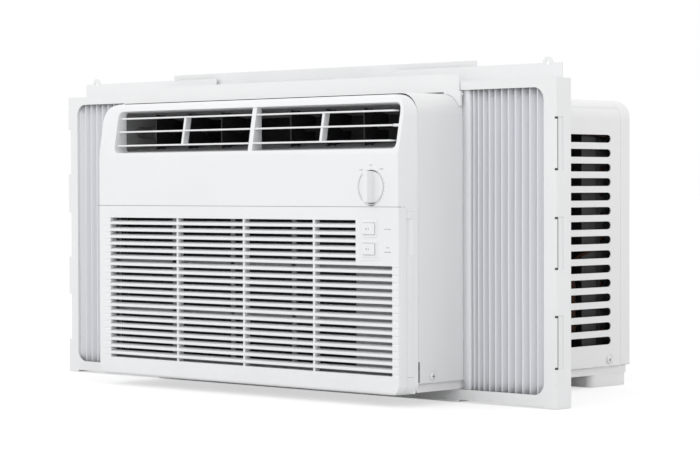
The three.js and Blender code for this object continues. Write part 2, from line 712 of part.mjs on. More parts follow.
function makeCompressor() {
  const body = turned(
    [[0, 26], [40, 27], [52, 33], [56, 44], [56, 205], [52, 220], [38, 231], [0, 235]],
    compressorAxis,
    20,
  );
  const lugs = lugAngles.map((angle) => rod('z', lugCentre(angle), 10, 26, 29, 12));
  const base = prism(polygon(lugAngles.map(lugCentre)), 'z', 26, 29);
  const holes = lugAngles.map((angle) => rod('z', lugCentre(angle), 5.2, 20, 32, 12));
  add('compressor', cut(join(body, base, ...lugs), ...holes), blackPaint);
  const floor = panFloor + sheet + gap;
  lugAngles.forEach((angle, i) => {
    const profile = [
      [0, floor], [9, floor], [9, 25.7], [4.8, 25.7], [4.8, 29.3], [7, 29.3], [7, 32], [0, 32],
    ];
    add(`compressor_grommet_${i + 1}`, turned(profile, lugCentre(angle), 12), rubber);
  });
  const [x, y] = compressorAxis;
  const coverProfile = [[0, 235.6], [19, 236.2], [19, 252], [14, 258], [0, 258]];
  add('terminal_cover', turned(coverProfile, [x - 8, y - 8], 16), blackPlastic);
  const accumulatorProfile = [[0, 60], [9, 62], [15, 72], [15, 174], [9, 184], [0, 186]];
  add('accumulator', turned(accumulatorProfile, [206, 170], 16), blackPaint);
}

function makePipes() {
  const discharge = [[182, 240, 235.5], [182, 241, 256], [196, 250, 270], [212, 268, 268], [218.8, 290, 262],
    [218.8, 322, 260], [218.3, 338, 258]];
  add('discharge_tube', tube(discharge, 3, 20), copper);
  const suction = [[150.6, 48, 88], [176, 54, 92], [204, 82, 96], [206, 110, 118], [206, 126, 170],
    [206, 138, 205], [206, 152.6, 215], [207, 167, 208], [206, 170, 186.6]];
  add('suction_tube', tube(suction, 4.5, 24), copper);
  const capillary = [[206, 288, 38.8], [207, 286, 34.5], [216, 268, 36], [218.5, 225, 38], [214, 180, 39],
    [190, 152.6, 40], [176, 104, 46], [164, 66, 54], [150.6, 54, 60]];
  add('capillary_tube', tube(capillary, 1.6, 26), copper);
  const drierProfile = [[0, 39.8], [4, 40], [8, 48], [8, 100], [4, 109], [0, 109.6]];
  add('filter_drier', turned(drierProfile, [206, 288], 14), copper);
  const liquid = [[206, 288, 110], [208, 289, 120], [214, 292, 128], [219, 304, 134], [219, 325, 138],
    [218.3, 338, 140]];
  add('liquid_line', tube(liquid, 2.4, 14), copper);
}

// ---- Window guides and curtains -----------------------------------------------------------

function makeUpperGuide() {
  const wall = 1.6;
  const rear = 116.6;
  const web = box([-guideHalf, guideHalf], [guideFront, rear], [guideBottom, guideBottom + sheet]);
  const lip = box([-guideHalf, guideHalf], [guideFront, guideFront + wall], [guideBottom, 317]);
  const flange = box([-guideHalf, guideHalf], [rear - wall, rear], [guideBottom, 331]);
  const gussets = [-1, 1].map((side) => cut(
    box(mirrored(side, 204, 226.2), [guideFront, guideFront + 2.4], [285, guideBottom + 1]),
    prism(cabinetOutline(0.4), 'y', 0, 200, 5),
  ));
  const holes = [-1, 1].map((side) => rod('z', [side * guideScrewX, sashPlane + 1], screwHole, 290, 310, 10));
  add('upper_guide', cut(join(web, lip, flange, ...gussets), ...holes), frameWhite);
}

function makeLowerGuide() {
  const wall = 1.6;
  const span = [-guideHalf + 2, guideHalf - 2];
  const rear = 112.4;
  const high = panFloor - gap;
  const web = box(span, [guideFront - 0.4, rear], [-sillDrop, -sillDrop + wall]);
  const frontLip = box(span, [guideFront - 0.4, guideFront - 0.4 + wall], [-sillDrop, -sillDrop + 2.4]);
  const rearLip = box(span, [rear - wall, rear], [-sillDrop, high]);
  add('lower_guide', join(web, frontLip, rearLip), frameWhite);
}

// A shallow recess in the right stile's outer face, with a deep groove along its front edge
// that breaks through to the front at both ends.
function handGrooves(outer, [low, high]) {
  const front = frameFront + 1.4;
  return [
    box([outer - 0.9, outer + 1], [front, frameFront + 10.5], [low, high]),
    box([outer - 4.6, outer + 1], [front, front + 1.3], [low, high]),
    ...[[low, low + 2.2], [high - 2.2, high]].map((ends) => box(
      [outer - 2.4, outer + 1], [frameFront - 1, front + 0.5], ends,
    )),
  ];
}

// One frame is a stile and two bars that slide in the guides; side is -1 or 1.
function makeCurtainFrame(name, side, outer) {
  const wall = 1.6;
  const innerEdge = outer - stileWidth;
  const stileX = mirrored(side, innerEdge, outer);
  const barX = mirrored(side, outer - barLength, innerEdge + 1);
  const rear = frameFront + frameDepth;
  const inside = mirrored(side, innerEdge + 2, outer - 6.2);
  const stile = cut(
    box(stileX, [frameFront, rear], [-sillDrop, frameTop]),
    box(inside, [frameFront + 2, rear + 1], [2 - sillDrop, frameTop - 2]),
  );
  const stileHeight = frameTop + sillDrop;
  const notchHeights = [[0.118, 0.28], [0.42, 0.58], [0.718, 0.881]].map(([a, b]) => [
    frameTop - b * stileHeight, frameTop - a * stileHeight,
  ]);
  const notches = notchHeights.flatMap((heights) => (side > 0
    ? handGrooves(outer, heights)
    : [box([-outer - 1, 4 - outer], [frameFront - 1, frameFront + 12], heights)]));
  const topBarLow = guideBottom + sheet + 0.4;
  const lowBar = -sillDrop + wall + gap;
  const lowBarHigh = panFloor - 2 * gap;
  const barRear = 111.6;
  const earTop = 325;
  const bars = [
    box(barX, [frameFront, frameFront + wall], [topBarLow, frameTop - 0.3]),
    box(barX, [frameFront, barRear], [frameTop - 0.3 - wall, frameTop - 0.3]),
    box(barX, [barRear - wall, barRear], [topBarLow, frameTop]),
    box(mirrored(side, outer - earLength, outer - 9), [barRear - wall, barRear], [frameTop - 2, earTop]),
    box(barX, [frameFront, frameFront + wall], [lowBar, lowBarHigh]),
    box(barX, [frameFront, 110.3], [lowBar, lowBar + wall]),
    box(barX, [110.3 - wall, 110.3], [lowBar, lowBarHigh]),
  ];
  const earX = side * (outer - 27);
  const ear = rod('y', [earX, earTop], 6.3, barRear - wall, barRear, 20);
  const earHole = rod('y', [earX, earTop], 2.4, 100, 120, 10);
  const fillet = 12.5;
  const fillets = [topBarLow + 0.1, lowBarHigh - 0.1].map((z, i) => {
    const up = i === 0 ? -1 : 1;
    const square = box(
      mirrored(side, innerEdge - fillet, innerEdge + 0.5),
      [frameFront, frameFront + wall],
      up > 0 ? [z - 0.5, z + fillet] : [z - fillet, z + 0.5],
    );
    const round = rod('y', [side * (innerEdge - fillet), z + up * fillet], fillet, 80, 120, 24);
    return cut(square, round);
  });
  add(name, cut(join(stile, ...bars, ear, ...fillets), earHole, ...notches), frameWhite);
}

// A curtain is one pleated sheet between the cabinet and its frame's stile.
function makeCurtain(name, side, outer, pleats) {
  const from = curtainStart + mountingStrip;
  const to = outer - stileWidth - 0.6;
  const front = frameFront + 2.2;
  const depth = 14;
  const thickness = 1.5;
  const folds = [[side * curtainStart, front]];
  for (let i = 0; i <= 2 * pleats; i += 1) {
    folds.push([side * (from + ((to - from) * i) / (2 * pleats)), front + (i % 2) * depth]);
  }
  const rearFolds = folds.map(([x, y]) => [x, y + thickness]).reverse();
  const low = -sillDrop + 4;
  const high = frameTop - 2.5;
  add(name, prism(polygon([...folds, ...rearFolds]), 'z', low, high), curtainGrey);
}

// ---- Fasteners ----------------------------------------------------------------------------
function makeScrews() {
  for (const [place, centre] of Object.entries(screwPlaces)) {
    for (const [label, side] of [['left', -1], ['right', 1]]) {
      const seat = coverHalf - dimpleDepth + gap;
      const head = rod('x', centre, 4, ...mirrored(side, seat, seat + 1.7), 12);
      const shank = rod('x', centre, 1.8, ...mirrored(side, coverHalf - 8, seat + 0.7), 8);
      add(`cover_screw_${place}_${label}`, join(head, shank), paintedSteel);
    }
  }
  for (const [label, side] of [['left', -1], ['right', 1]]) {
    const centre = [side * guideScrewX, sashPlane + 1];
    const top = guideBottom + sheet;
    const head = rod('z', centre, 4.4, top + gap, top + 2.4, 12);
    const shank = rod('z', centre, 1.8, coverTop - 7, top + 1, 8);
    add(`guide_screw_${label}`, join(head, shank), zinc);
  }
}

// ---- The whole unit -----------------------------------------------------------------------
makeBasePan();
makeDrainCap();
makeCabinetCover();
makeCordGland();
makeRearFrame();
makeFrontPanel();
makeInletGrille();
makeOutletDuct();
makeLouvreBank('louvre_bank_left', [-193.5, postSpan[0] - 0.6], [7.5, 2.4]);
makeLouvreBank('louvre_bank_right', [postSpan[1] + 0.6, 207.5], [2.4, 7.5]);
for (const [label, positions] of Object.entries(vanePositions)) {
  positions.forEach((x, i) => makeVane(`vane_${label}_${i + 1}`, x));
  makeVaneLink(`vane_link_${label}`, positions);
}
makeControls();
makeAirFilter();
makeEvaporator();
makeBlowerScroll();
makeBlowerWheel();
makePartition();
makeMotor();
makeCondenserFan();
makeCondenser();
makeCompressor();
makePipes();
makeUpperGuide();
makeLowerGuide();
makeCurtainFrame('left_curtain_frame', -1, frameOuterEdge.left);
makeCurtainFrame('right_curtain_frame', 1, frameOuterEdge.right);
makeCurtain('left_curtain', -1, frameOuterEdge.left, pleatCount.left);
makeCurtain('right_curtain', 1, frameOuterEdge.right, pleatCount.right);
makeScrews();

export default unit;
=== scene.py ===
"""Window air conditioner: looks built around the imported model.

Lengths in this script are millimetres in the cabinet's own frame: x to the right, y back from
the front face and z up from the front panel's bottom edge. at() turns them into metres in the
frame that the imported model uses.
"""

import json
import math

import bmesh
import bpy
from mathutils import Matrix, Vector

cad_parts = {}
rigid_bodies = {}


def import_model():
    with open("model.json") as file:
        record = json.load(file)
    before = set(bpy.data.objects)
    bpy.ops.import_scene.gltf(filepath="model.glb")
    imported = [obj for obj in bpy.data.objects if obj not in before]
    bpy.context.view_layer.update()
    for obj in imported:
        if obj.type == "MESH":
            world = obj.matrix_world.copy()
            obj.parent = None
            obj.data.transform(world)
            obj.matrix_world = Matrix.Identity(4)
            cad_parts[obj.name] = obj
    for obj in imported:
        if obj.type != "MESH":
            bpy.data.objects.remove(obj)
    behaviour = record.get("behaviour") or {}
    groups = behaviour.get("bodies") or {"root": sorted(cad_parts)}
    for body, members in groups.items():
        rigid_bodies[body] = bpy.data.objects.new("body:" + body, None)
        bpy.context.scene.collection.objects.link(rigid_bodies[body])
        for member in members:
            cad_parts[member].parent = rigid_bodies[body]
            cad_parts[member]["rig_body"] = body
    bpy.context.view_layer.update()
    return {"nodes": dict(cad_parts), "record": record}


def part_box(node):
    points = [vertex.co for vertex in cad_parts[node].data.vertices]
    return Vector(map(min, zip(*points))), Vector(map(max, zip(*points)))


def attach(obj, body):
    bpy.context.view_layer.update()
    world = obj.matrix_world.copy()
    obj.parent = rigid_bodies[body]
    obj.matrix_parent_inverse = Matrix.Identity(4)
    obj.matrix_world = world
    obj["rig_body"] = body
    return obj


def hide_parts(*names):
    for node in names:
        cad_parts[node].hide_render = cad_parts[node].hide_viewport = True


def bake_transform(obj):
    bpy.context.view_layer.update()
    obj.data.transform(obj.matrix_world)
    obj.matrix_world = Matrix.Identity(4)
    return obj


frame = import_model()
nodes = frame["nodes"]

MM = 0.001
panel_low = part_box("front_panel")[0]


def at(x, y, z):
    """A point given in millimetres from the front panel, in metres in the model's frame."""
    return Vector((x * MM, panel_low.y + y * MM, panel_low.z + z * MM))


def span(node, axis):
    """Lowest and highest value of a node along x, y or z, in the script's millimetres."""
    i = "xyz".index(axis)
    start = (0.0, panel_low.y, panel_low.z)[i]
    low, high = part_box(node)
    return (low[i] - start) / MM, (high[i] - start) / MM


# ---- Materials ------------------------------------------------------------------------------


class Look:
    """A Principled material and short ways to add texture nodes to it."""

    def __init__(self, name, color, roughness, metallic=0.0):
        self.material = bpy.data.materials.new(name)
        self.material.use_nodes = True
        self.tree = self.material.node_tree
        self.surface = self.tree.nodes["Principled BSDF"]
        self.coordinates = self.tree.nodes.new("ShaderNodeTexCoord").outputs["Object"]
        self.color = color
        self.surface.inputs["Base Color"].default_value = (*color, 1)
        self.surface.inputs["Roughness"].default_value = roughness
        self.surface.inputs["Metallic"].default_value = metallic
        self.roughness = roughness
        self.normal = None

    def link(self, output, node, socket):
        self.tree.links.new(output, node.inputs[socket])

    def stretched(self, stretch):
        """The object's coordinates, scaled along each axis."""
        mapping = self.tree.nodes.new("ShaderNodeMapping")
        mapping.inputs["Scale"].default_value = stretch
        self.link(self.coordinates, mapping, "Vector")
        return mapping.outputs["Vector"]

    def noise(self, scale, detail=2.0, stretch=None):
        node = self.tree.nodes.new("ShaderNodeTexNoise")
        node.inputs["Scale"].default_value = scale
        node.inputs["Detail"].default_value = detail
        self.link(self.stretched(stretch) if stretch else self.coordinates, node, "Vector")
        return node.outputs["Fac"]

    def cells(self, scale, feature="F1", stretch=None):
        node = self.tree.nodes.new("ShaderNodeTexVoronoi")
        node.feature = feature
        node.inputs["Scale"].default_value = scale
        self.link(self.stretched(stretch) if stretch else self.coordinates, node, "Vector")
        return node.outputs["Distance"]

    def remap(self, value, low, high, start=0.3, end=0.7):
        node = self.tree.nodes.new("ShaderNodeMapRange")
        node.inputs["From Min"].default_value = start
        node.inputs["From Max"].default_value = end
        node.inputs["To Min"].default_value = low
        node.inputs["To Max"].default_value = high
        self.link(value, node, "Value")
        return node.outputs["Result"]

    def vary_color(self, value, other, start=0.3, end=0.7):
        mix = self.tree.nodes.new("ShaderNodeMix")
        mix.data_type = "RGBA"
        mix.inputs["A"].default_value = (*self.color, 1)
        mix.inputs["B"].default_value = (*other, 1)
        self.link(self.remap(value, 0, 1, start, end), mix, "Factor")
        self.link(mix.outputs["Result"], self.surface, "Base Color")
        return self

    def vary_roughness(self, value, spread):
        result = self.remap(value, self.roughness - spread, self.roughness + spread)
        self.link(result, self.surface, "Roughness")
        return self

    def bump(self, height, strength, depth):
        """Adds relief of a given depth in millimetres on top of what is there."""
        node = self.tree.nodes.new("ShaderNodeBump")
        node.inputs["Strength"].default_value = strength
        node.inputs["Distance"].default_value = depth * MM
        self.link(height, node, "Height")
        if self.normal:
            self.link(self.normal, node, "Normal")
        self.normal = node.outputs["Normal"]
        self.link(self.normal, self.surface, "Normal")
        return self

    def set(self, **values):
        for socket, value in values.items():
            self.surface.inputs[socket.replace("_", " ")].default_value = value
        return self


def shade(color, factor):
    return tuple(min(1.0, c * factor) for c in color)


def moulded(name, color, roughness, grain=0.25):
    """Injection moulded plastic: fine spark-eroded grain and barely uneven colour."""
    look = Look(name, color, roughness)
    look.vary_color(look.noise(9, 3), shade(color, 0.97))
    look.vary_roughness(look.noise(60, 3), 0.05)
    look.bump(look.noise(2600, 2), grain, 0.03)
    look.bump(look.noise(14, 1), 0.12, 0.4)
    return look


def painted(name, color, roughness):
    """Powder coat on sheet steel: a fine orange peel."""
    look = Look(name, color, roughness)
    look.vary_color(look.noise(7, 2), shade(color, 0.975))
    look.vary_roughness(look.noise(90, 2), 0.04)
    look.bump(look.cells(900, "SMOOTH_F1"), 0.12, 0.05)
    look.bump(look.noise(16, 1), 0.12, 0.5)
    return look


def metal(name, color, roughness, stretch, scale=900):
    """Drawn or rolled metal with lines along the direction that it was worked in."""
    look = Look(name, color, roughness, 1.0)
    look.vary_color(look.noise(45, 4), shade(color, 0.82))
    look.vary_roughness(look.noise(120, 3), 0.08)
    look.bump(look.noise(scale, 3, stretch), 0.25, 0.03)
    return look


def foam_beads(name, color):
    look = Look(name, color, 0.85)
    beads = look.cells(330, "SMOOTH_F1")
    look.vary_color(beads, shade(color, 0.86), 0.25, 0.75)
    look.bump(beads, 0.6, 0.5)
    look.bump(look.noise(1500), 0.2, 0.08)
    return look


def soft_rubber(name, color):
    look = Look(name, color, 0.78)
    look.vary_color(look.noise(80, 3), shade(color, 1.9))
    look.bump(look.noise(1800, 3), 0.4, 0.05)
    return look


def build_looks():
    white = (0.845, 0.85, 0.862)
    looks = {
        "white_plastic": moulded("white_plastic", white, 0.40),
        "frame_plastic": moulded("frame_plastic", (0.83, 0.835, 0.84), 0.48, 0.35),
        "painted_steel": painted("painted_steel", (0.83, 0.83, 0.835), 0.38),
        "dark_plastic": moulded("dark_plastic", (0.27, 0.27, 0.275), 0.5, 0.5),
        "black_plastic": moulded("black_plastic", (0.012, 0.012, 0.013), 0.48, 0.5),
        "filter_net": moulded("filter_net", (0.32, 0.32, 0.325), 0.6, 0.4),
        # The next near-black is the filter net's own colour; on the coil end plates it is painted
        # shade.
        "dark_net": moulded("dark_net", (0.012, 0.013, 0.014), 0.7, 0.4),
        "zinc_steel": metal("zinc_steel", (0.60, 0.61, 0.62), 0.36, (1, 1, 0.05), 300),
        "aluminium_fins": metal("aluminium_fins", (0.66, 0.68, 0.70), 0.38, (1, 1, 0.03)),
        # These two are darkened far past aluminium and copper to paint the shade inside the
        # cabinet.
        "shaded_fins": metal("shaded_fins", (0.10, 0.104, 0.11), 0.5, (1, 1, 0.03)),
        "copper_tube": metal("copper_tube", (0.045, 0.022, 0.015), 0.5, (0.2, 0.2, 1)),
        "black_paint": painted("black_paint", (0.009, 0.009, 0.010), 0.6),
        "foam": foam_beads("foam", (0.80, 0.80, 0.77)),
        "rubber": soft_rubber("rubber", (0.018, 0.018, 0.018)),
    }
    vinyl = Look("curtain_vinyl", (0.80, 0.808, 0.835), 0.5)
    vinyl.vary_color(vinyl.noise(11, 3, (1, 1, 0.2)), (0.77, 0.78, 0.815))
    vinyl.vary_roughness(vinyl.noise(50, 3), 0.06)
    vinyl.bump(vinyl.cells(1500, "SMOOTH_F1"), 0.25, 0.05)
    vinyl.bump(vinyl.noise(12, 2, (1, 1, 0.15)), 0.3, 0.6)
    looks["curtain_vinyl"] = vinyl
    # The first two are printed ink; the near-black third paints the shade in gaps and recesses.
    for name, tone in (("print_grey", 0.36), ("print_pale", 0.54), ("dark_recess", 0.05)):
        print_and_shade_tone = Look(name, (tone, tone, tone * 1.02), 0.5)
        print_and_shade_tone.vary_color(print_and_shade_tone.noise(400, 3), shade(print_and_shade_tone.color, 1.15))
        looks[name] = print_and_shade_tone
    return {name: look.material for name, look in looks.items()}


MATERIALS = build_looks()

# ---- Mesh tools -----------------------------------------------------------------------------
slot_of = {row["node"]: row["material_slot"] for row in frame["record"]["subparts"]}
body_of = {node: part["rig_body"] for node, part in nodes.items()}


def add_piece(name, mesh, node, look=None, replaces=True):
    """Turns a bmesh in script millimetres into a piece that rides where a node rides."""
    bmesh.ops.remove_doubles(mesh, verts=mesh.verts, dist=0.001)
    bmesh.ops.recalc_face_normals(mesh, faces=mesh.faces)
    for vertex in mesh.verts:
        vertex.co = at(*vertex.co)
    for face in mesh.faces:
        face.smooth = True
    data = bpy.data.meshes.new(name)
    mesh.to_mesh(data)
    mesh.free()
    piece = bpy.data.objects.new(name, data)
    bpy.context.scene.collection.objects.link(piece)
    data.materials.append(MATERIALS[look or slot_of[node]])
    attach(piece, body_of[node])
    if replaces:
        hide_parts(node)
    return piece


def add_print(name, mesh, node, look):
    """A thin mark on a white moulding, beside what is there."""
    return add_piece(name, mesh, node, look, replaces=False)


def add_tubes(name, mesh, node):
    """Copper tubes that belong to a coil and don't replace it."""
    return add_piece(name, mesh, node, "copper_tube", replaces=False)


def soften(piece, width, segments=2, angle=30):
    """Rounded edges, with flat faces that stay flat in the shading."""
    bevel = piece.modifiers.new("Edges", "BEVEL")
    bevel.width = width * MM
    bevel.segments = segments
    bevel.limit_method = "ANGLE"
    bevel.angle_limit = math.radians(angle)
    bevel.harden_normals = True
    weighted = piece.modifiers.new("Normals", "WEIGHTED_NORMAL")
    weighted.keep_sharp = True
    return piece


def block(mesh, x, y, z):
    """A closed box between two values along each axis."""
    size = Vector((x[1] - x[0], y[1] - y[0], z[1] - z[0]))
    centre = Vector((sum(x) / 2, sum(y) / 2, sum(z) / 2))
    place = Matrix.Translation(centre) @ Matrix.Diagonal((*size, 1))
    return bmesh.ops.create_cube(mesh, size=1, matrix=place)["verts"]


def extrusion(mesh, outline, axis, start, end):
    """A closed prism; the outline's two numbers are the other two axes in x, y, z order."""
    order = {"x": (2, 0, 1), "y": (0, 2, 1), "z": (0, 1, 2)}[axis]

    def point(u, v, w):
        values = (u, v, w)
        return Vector(values[i] for i in order)

    rings = [[mesh.verts.new(point(u, v, w)) for u, v in outline] for w in (start, end)]
    count = len(outline)
    for i in range(count):
        j = (i + 1) % count
        mesh.faces.new((rings[0][i], rings[0][j], rings[1][j], rings[1][i]))
    mesh.faces.new(rings[0])
    mesh.faces.new(list(reversed(rings[1])))
    return rings


def loft(mesh, rings, closed=True, caps=True):
    """Joins rings of points with faces, and closes the two ends."""
    made = [[mesh.verts.new(point) for point in ring] for ring in rings]
    count = len(rings[0])
    for low, high in zip(made, made[1:]):
        for i in range(count if closed else count - 1):
            j = (i + 1) % count
            mesh.faces.new((low[i], low[j], high[j], high[i]))
    if caps:
        mesh.faces.new(made[0])
        mesh.faces.new(list(reversed(made[-1])))
    return made


def spin(mesh, profile, centre, axis, sides=48):
    """A solid turned round an axis: the profile is (radius, distance along the axis)."""
    rings = []
    for radius, along in profile:
        ring = []
        for i in range(sides):
            angle = 2 * math.pi * i / sides
            u, v = radius * math.cos(angle), radius * math.sin(angle)
            offset = {"x": (along, u, v), "y": (u, along, v), "z": (u, v, along)}[axis]
            ring.append(Vector(centre) + Vector(offset))
        rings.append(ring)
    loft(mesh, rings)


def arc(centre, radius, start, end, steps):
    """Points on an arc, angles in degrees."""
    points = []
    for i in range(steps + 1):
        angle = math.radians(start + (end - start) * i / steps)
        points.append((centre[0] + radius * math.cos(angle), centre[1] + radius * math.sin(angle)))
    return points


def smooth_step(value):
    value = max(0.0, min(1.0, value))
    return value * value * (3 - 2 * value)


def spread(start, end, steps):
    return [start + (end - start) * i / steps for i in range(steps + 1)]


# ---- Finish of the CAD nodes ----------------------------------------------------------------
def round_edges(node, width, segments=2, angle=30):
    """Soft edges and smooth shading for a node, without touching its own mesh."""
    part = nodes[node]
    for polygon in part.data.polygons:
        polygon.use_smooth = True
    weld = part.modifiers.new("Weld", "WELD")
    weld.merge_threshold = 0.01 * MM
    dissolve = part.modifiers.new("Flat faces", "DECIMATE")
    dissolve.decimate_type = "DISSOLVE"
    dissolve.angle_limit = math.radians(0.5)
    soften(part, width, segments, angle)


EDGE_ROUNDING = 0.4
for node, part in nodes.items():
    part.data.materials.clear()
    part.data.materials.append(MATERIALS[slot_of[node]])
    round_edges(node, EDGE_ROUNDING)

# ---- Inlet grille ---------------------------------------------------------------------------
SLOT_COUNT = 21
SHORT_SLOTS = 6
SLOT_PITCH = 7.47
TOP_SLOT = 169.7
SLOT_HALF = 1.6
SLOT_LEFT = -203.0
SLOT_RIGHT = 213.0
SHORT_RIGHT = 164.6
SWITCH_OPENING = ((169.7, 195.9), (131.5, 173.5))
RIBS = (-96, 5, 106)
HALF_WIDTH = span("front_panel", "x")[1]
GRILLE_BACK = span("inlet_grille", "y")[1]
GRILLE_TOP = span("inlet_grille", "z")[1]
PANEL_BACK = span("front_panel", "y")[1]
DRAFT = 3.6  # how far each side has leaned in at the front face
DRAFT_START = 216.0
EDGE = 1.4  # radius of the upright front edges
LOW_CORNER = 10.0  # radius of the two lower corners, seen from the front
SEAM_CORNER = 4.0  # radius where the seam turns down on each side
WALL = 2.3
GROOVE_DEPTH = 0.6
RIB_HALF = 1.3
slot_heights = [TOP_SLOT - i * SLOT_PITCH for i in range(SLOT_COUNT)]
field_top = slot_heights[0] + SLOT_HALF
field_bottom = slot_heights[-1] - SLOT_HALF
block_bottom = slot_heights[SHORT_SLOTS] + SLOT_HALF


def grille_columns():
    """The outline from above: place, outward direction and how deep the grooves are there."""
    left, right = -HALF_WIDTH, HALF_WIDTH
    columns = [(left, y, -1, 0, 0.0) for y in (GRILLE_BACK, 7.5, 5, 3, EDGE)]
    for x, y in arc((left + EDGE, EDGE), EDGE, 180, 270, 5)[1:]:
        columns.append((x, y, (x - left - EDGE) / EDGE, (y - EDGE) / EDGE, 0.0))
    front = [-218, -215, -213, -211, -208, SLOT_LEFT - 1, SLOT_LEFT, -160, *RIBS, 60, 130]
    front += [SHORT_RIGHT, *SWITCH_OPENING[0], 205, SLOT_RIGHT, SLOT_RIGHT + 1, 217, 219]
    for x in sorted(front):
        groove = 1.0 if x > 0 else smooth_step((x + 215) / 5)
        columns.append((x, 0, 0, -1, groove))
    for x, y in arc((right - EDGE, EDGE), EDGE, 270, 360, 5):
        columns.append((x, y, (x - right + EDGE) / EDGE, (y - EDGE) / EDGE, 1.0))
    columns += [(right, y, 1, 0, 1 - smooth_step((y - 1.6) / 2)) for y in (1.9, 2.6, 3.3, 3.9)]
    columns += [(right, y, 1, 0, 0.0) for y in (5, 7.5, GRILLE_BACK)]
    return columns


def grille_rows():
    """Heights from the top edge down to the underside, and how far the face leans back there."""
    groove_steps = (-1.6, -0.9, -0.45, 0, 0.45, 0.9, 1.6)
    heights = {GRILLE_TOP, GRILLE_TOP - 0.5, field_top, field_bottom, block_bottom}
    heights.update(z + step for z in slot_heights for step in groove_steps)
    heights.update(SWITCH_OPENING[1])
    heights.update((16.5, 14, 12, 10, 8, 6.5, 5, 4))
    heights.update(GRILLE_TOP - step for step in (0.12, 0.5, 1.1, 2, 3, SEAM_CORNER))
    rows = [(z, 0.0) for z in sorted(heights, reverse=True)]
    rows[0] = (GRILLE_TOP, 0.12)
    for t in spread(0, 90, 6):
        rows.append((3 - 3 * math.sin(math.radians(t)), 3 - 3 * math.cos(math.radians(t))))
    return rows


def groove_at(z, x):
    """Share of the groove's depth at a height: the slots go on as shallow grooves."""
    if not field_bottom - 1 < z < field_top + 1:
        return 0.0
    if x > 0 and z > block_bottom:
        return 0.0
    nearest = min(abs(z - height) for height in slot_heights)
    return 1 - smooth_step(nearest / 0.95)


def in_opening(x, z):
    """True inside the field of slots or the switches' opening."""
    if SWITCH_OPENING[0][0] < x < SWITCH_OPENING[0][1]:
        if SWITCH_OPENING[1][0] < z < SWITCH_OPENING[1][1]:
            return True
    if not (SLOT_LEFT < x < SLOT_RIGHT and field_bottom < z < field_top):
        return False
    return x < SHORT_RIGHT or z < block_bottom


def wrap_limit(z):
    """How far back the grille reaches on the side: its upper corner is rounded."""
    rise = z - (GRILLE_TOP - SEAM_CORNER)
    if rise <= 0:
        return GRILLE_BACK
    return GRILLE_BACK - SEAM_CORNER + math.sqrt(max(0.0, SEAM_CORNER**2 - rise**2))


def drafted(x, y):
    """The panel's sides lean in a little toward the front."""
    share = max(0.0, min(1.0, (abs(x) - DRAFT_START) / (HALF_WIDTH - DRAFT_START)))
    return x - math.copysign(share * DRAFT * max(0.0, 1 - y / PANEL_BACK), x)


def grille_skin(mesh):
    """The grille's outer surface, open where the slots and the switches are."""
    columns = grille_columns()
    rows = grille_rows()
    points = []
    for z, lean in rows:
        inset = 0.0
        if z < LOW_CORNER:
            inset = LOW_CORNER - math.sqrt(LOW_CORNER**2 - (LOW_CORNER - z) ** 2)
        line = []
        for x, y, out_x, out_y, groove in columns:
            depth = GROOVE_DEPTH * groove * groove_at(z, x)
            back = y + lean * (1 - y / GRILLE_BACK)
            back = min(back, wrap_limit(z))
            across = drafted(x, y) * (1 - inset / HALF_WIDTH)
            place = (across - out_x * depth, back - out_y * depth, z)
            line.append(mesh.verts.new(place))
        points.append(line)
    under = [mesh.verts.new((v.co.x, GRILLE_BACK, 0)) for v in points[-1]]
    points.append(under)
    for upper, lower in zip(points, points[1:]):
        for i in range(len(columns) - 1):
            corners = (upper[i], upper[i + 1], lower[i + 1], lower[i])
            middle = sum((c.co for c in corners), Vector()) / 4
            if middle.y < EDGE and in_opening(middle.x, middle.z):
                continue
            mesh.faces.new(corners)


# Section of one blade as (y, z) from its lower front corner.
BLADE_FACE = [
    (0.7, 0.0), (0.25, 0.1), (0.06, 0.4), (0.03, 1.1), (0.03, 1.9), (0.12, 2.4), (0.5, 2.8),
    (1.2, 3.2), (2.2, 3.6), (3.3, 3.95), (4.6, 4.3), (5.9, 4.55), (6.6, 4.55), (6.8, 4.3),
    (6.4, 4.1), (4.8, 3.75), (3.5, 3.3), (2.8, 2.8), (2.5, 2.0), (2.45, 0.0),
]


def make_grille():
    """The surface gets a wall, then blades between the slots and ribs across them."""
    skin = bmesh.new()
    grille_skin(skin)
    bmesh.ops.remove_doubles(skin, verts=skin.verts, dist=0.01)
    bmesh.ops.recalc_face_normals(skin, faces=skin.faces)
    bmesh.ops.dissolve_degenerate(skin, edges=skin.edges, dist=0.005)
    facing = sum(face.normal.y * face.calc_area() for face in skin.faces)
    bmesh.ops.solidify(skin, geom=skin.faces[:], thickness=WALL if facing < 0 else -WALL)
    for i, height in enumerate(slot_heights):
        bottom = height - SLOT_HALF - (SLOT_PITCH - 2 * SLOT_HALF)
        right = SHORT_RIGHT if i < SHORT_SLOTS else SLOT_RIGHT
        push = 0.5 if i == SLOT_COUNT - 1 else 0.0
        outline = [(y + push, bottom + z) for y, z in BLADE_FACE]
        extrusion(skin, outline, "x", SLOT_LEFT - 1.5, right + 1.5)
    for x in RIBS:
        block(skin, (x - RIB_HALF, x + RIB_HALF), (1.0, 8.5), (field_bottom - 2, field_top + 2))
    block(skin, (SLOT_LEFT - 1.6, SLOT_LEFT - 0.1), (1.5, 8.5), (field_bottom - 2, field_top + 2))
    block(skin, (SLOT_RIGHT + 0.1, SLOT_RIGHT + 1.6), (1.5, 8.5), (field_bottom - 2, block_bottom))
    for edge in skin.edges:
        edge.smooth = len(edge.link_faces) != 2 or edge.calc_face_angle() < math.radians(60)
    piece = add_piece("inlet_grille_moulding", skin, "inlet_grille")
    weighted = piece.modifiers.new("Normals", "WEIGHTED_NORMAL")
    weighted.keep_sharp = True


make_grille()


